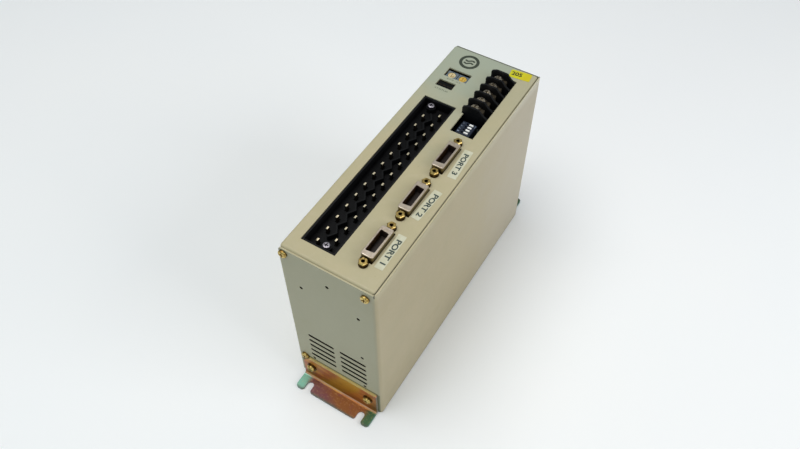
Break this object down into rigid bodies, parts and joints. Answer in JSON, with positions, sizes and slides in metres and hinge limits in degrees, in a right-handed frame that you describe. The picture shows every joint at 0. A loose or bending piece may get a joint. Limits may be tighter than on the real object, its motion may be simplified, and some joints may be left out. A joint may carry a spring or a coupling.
{
  "type": "servo drive",
  "caption": "Slim book-shaped servo drive in a folded beige steel case with a long power header, shielded connectors, barrier terminals, code switches and plated mounting brackets.",
  "frame": {"origin": "centre of the back, in the plane of the bracket feet", "axes": "+X across the width, +Y along the length to the upper end of the wall-mounted drive, +Z out of the mounting wall towards the front panel"},
  "size_m": [0.0634, 0.2276, 0.1493],
  "materials": {
    "case_paint": "fine-textured warm beige stove enamel",
    "plated_screw": "yellow zinc plate on steel",
    "zinc_chromate": "iridescent yellow zinc chromate",
    "sink_aluminium": "extruded, dull",
    "module_epoxy": "moulded epoxy",
    "steel_screw": "nickel-plated steel",
    "circuit_board": "green solder mask",
    "capacitor_sleeve": "shrink sleeve",
    "black_plastic": "glass-filled moulding",
    "chip_epoxy": "moulded epoxy",
    "jack_brass": "turned brass",
    "ribbon_grey": "grey flat cable",
    "insulating_paper": "grey insulating sheet",
    "pin_tin": "tin-plated brass",
    "dip_blue": "dark blue moulding",
    "switch_grey": "light grey moulding",
    "smoked_window": "smoked acrylic",
    "label_tape": "satin lettering tape",
    "yellow_tag": "yellow vinyl",
    "shell_plating": "nickel plate, warm",
    "insert_brown": "dark brown moulding",
    "contact_gold": "gold flash",
    "lever_white": "white moulding",
    "dial_cream": "cream to amber moulding"
  },
  "bodies": {
    "case": {"asset_tag": "yellow_tag", "back_plate": "case_paint", "back_screws": "plated_screw", "board_plugs": "black_plastic", "board_screws": "steel_screw", "board_standoffs": "jack_brass", "bracket_screws": "plated_screw", "bus_capacitors": "capacitor_sleeve", "chassis": "case_paint", "connector_contacts_1": "contact_gold", "connector_contacts_2": "contact_gold", "connector_contacts_3": "contact_gold", "connector_insert_1": "insert_brown", "connector_insert_2": "insert_brown", "connector_insert_3": "insert_brown", "connector_shell_1": "shell_plating", "connector_shell_2": "shell_plating", "connector_shell_3": "shell_plating", "control_board": "circuit_board", "control_chips": "chip_epoxy", "cover": "case_paint", "cover_screws": "plated_screw", "current_sensors": "black_plastic", "dip_switch_body": "dip_blue", "display_window": "smoked_window", "header_body": "black_plastic", "header_pins": "pin_tin", "header_screws": "steel_screw", "heatsink": "sink_aluminium", "insulating_sheet": "insulating_paper", "jackscrews": "jack_brass", "label_strips": "label_tape", "lower_bracket": "zinc_chromate", "module_screws": "steel_screw", "power_board": "circuit_board", "power_module": "module_epoxy", "rectifier": "module_epoxy", "relay": "module_epoxy", "ribbon_cable": "ribbon_grey", "rotary_switch_bodies": "switch_grey", "status_display": "chip_epoxy", "switch_board": "circuit_board", "terminal_block": "black_plastic", "terminal_plates": "pin_tin", "terminal_washers": "steel_screw", "transformer": "module_epoxy", "upper_bracket": "zinc_chromate"},
    "terminal_screw_1": {"terminal_screw_1": "steel_screw"},
    "terminal_screw_2": {"terminal_screw_2": "steel_screw"},
    "terminal_screw_3": {"terminal_screw_3": "steel_screw"},
    "terminal_screw_4": {"terminal_screw_4": "steel_screw"},
    "terminal_screw_5": {"terminal_screw_5": "steel_screw"},
    "dip_lever_1": {"dip_lever_1": "lever_white"},
    "dip_lever_2": {"dip_lever_2": "lever_white"},
    "dip_lever_3": {"dip_lever_3": "lever_white"},
    "dip_lever_4": {"dip_lever_4": "lever_white"},
    "rotary_dial_1": {"rotary_dial_1": "dial_cream"},
    "rotary_dial_2": {"rotary_dial_2": "dial_cream"}
  },
  "joints": [
    {"name": "terminal_screw_1_turn", "type": "hinge", "parent": "case", "child": "terminal_screw_1", "pos_m": [0.0102, 0.0482, 0.1442], "axis": [0, 0, 1], "continuous": true},
    {"name": "terminal_screw_2_turn", "type": "hinge", "parent": "case", "child": "terminal_screw_2", "pos_m": [0.0102, 0.05603, 0.1442], "axis": [0, 0, 1], "continuous": true},
    {"name": "terminal_screw_3_turn", "type": "hinge", "parent": "case", "child": "terminal_screw_3", "pos_m": [0.0102, 0.06386, 0.1442], "axis": [0, 0, 1], "continuous": true},
    {"name": "terminal_screw_4_turn", "type": "hinge", "parent": "case", "child": "terminal_screw_4", "pos_m": [0.0102, 0.07169, 0.1442], "axis": [0, 0, 1], "continuous": true},
    {"name": "terminal_screw_5_turn", "type": "hinge", "parent": "case", "child": "terminal_screw_5", "pos_m": [0.0102, 0.07952, 0.1442], "axis": [0, 0, 1], "continuous": true},
    {"name": "dip_lever_1_slide", "type": "slide", "parent": "case", "child": "dip_lever_1", "axis": [1, 0, 0], "range_m": [-0.0019, 0]},
    {"name": "dip_lever_2_slide", "type": "slide", "parent": "case", "child": "dip_lever_2", "axis": [1, 0, 0], "range_m": [-0.0019, 0]},
    {"name": "dip_lever_3_slide", "type": "slide", "parent": "case", "child": "dip_lever_3", "axis": [1, 0, 0], "range_m": [-0.0019, 0]},
    {"name": "dip_lever_4_slide", "type": "slide", "parent": "case", "child": "dip_lever_4", "axis": [1, 0, 0], "range_m": [-0.0019, 0]},
    {"name": "rotary_dial_1_turn", "type": "hinge", "parent": "case", "child": "rotary_dial_1", "pos_m": [-0.0195, 0.0722, 0.141], "axis": [0, 0, 1], "continuous": true},
    {"name": "rotary_dial_2_turn", "type": "hinge", "parent": "case", "child": "rotary_dial_2", "pos_m": [-0.0114, 0.0722, 0.141], "axis": [0, 0, 1], "continuous": true}
  ]
}
